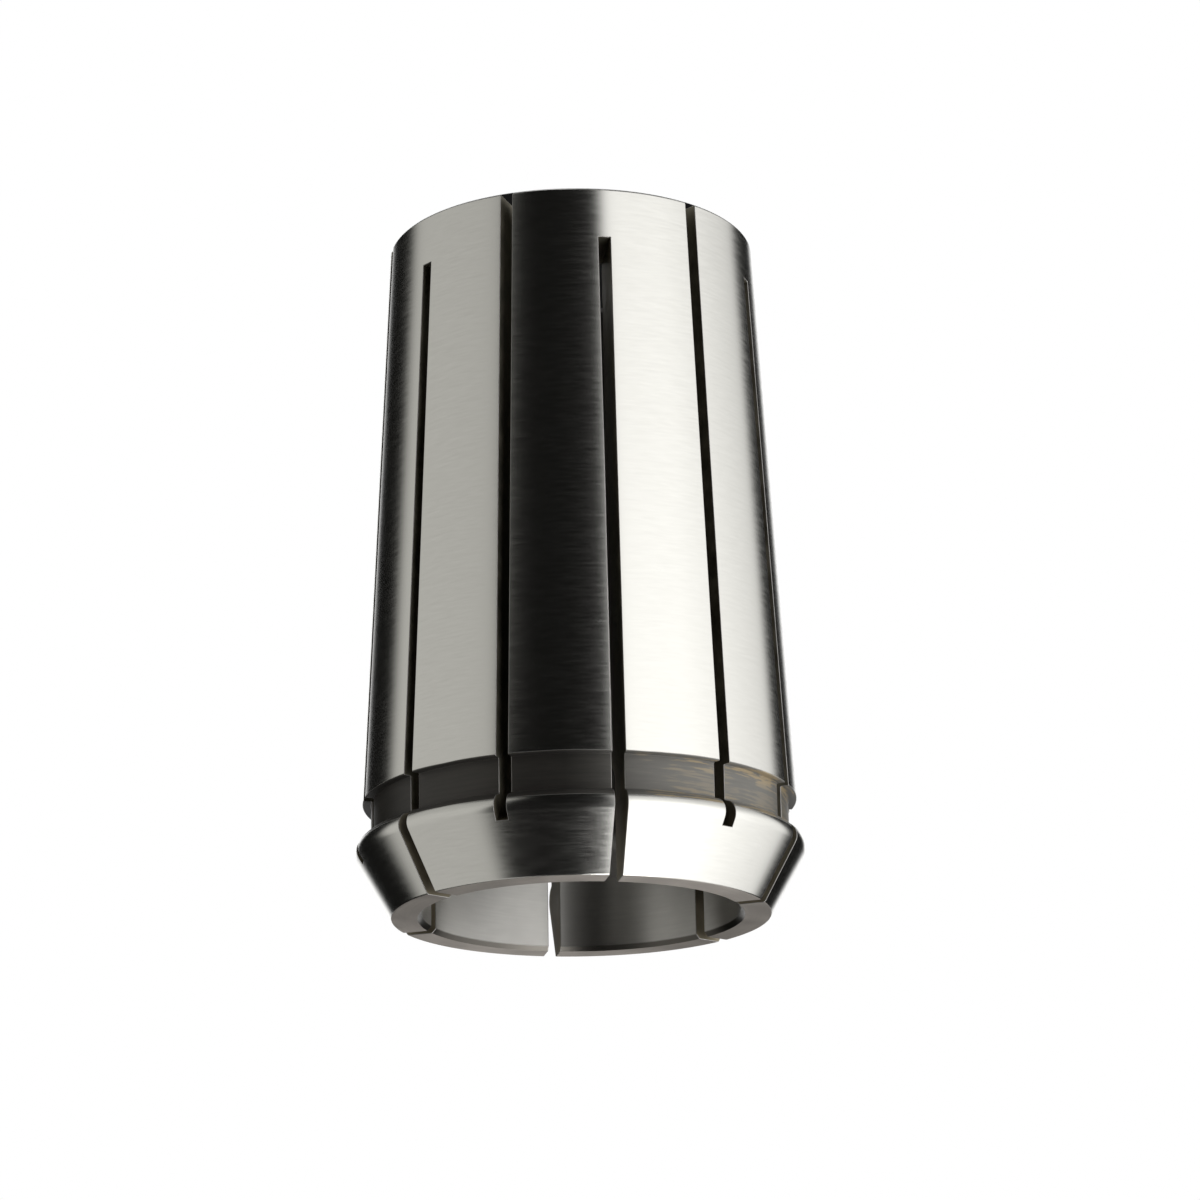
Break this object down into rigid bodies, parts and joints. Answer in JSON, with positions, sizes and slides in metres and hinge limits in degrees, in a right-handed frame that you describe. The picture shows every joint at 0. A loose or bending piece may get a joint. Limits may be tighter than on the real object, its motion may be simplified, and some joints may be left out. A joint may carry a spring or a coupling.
{
  "type": "spring collet",
  "caption": "Round spring collet with a slim outer taper, a nose cone, an extractor groove and alternating saw-cut slots that let its bore close on a round shank.",
  "frame": {"origin": "centre of the nose face, on the axis of the bore", "axes": "+Z along the axis, from the nose to the small end of the taper; a slot that opens at the nose lies on -Y and on +Y"},
  "size_m": [0.0254, 0.0254, 0.04],
  "materials": {
    "steel": "ground, satin"
  },
  "bodies": {
    "root": {"collet": "steel"}
  },
  "joints": []
}
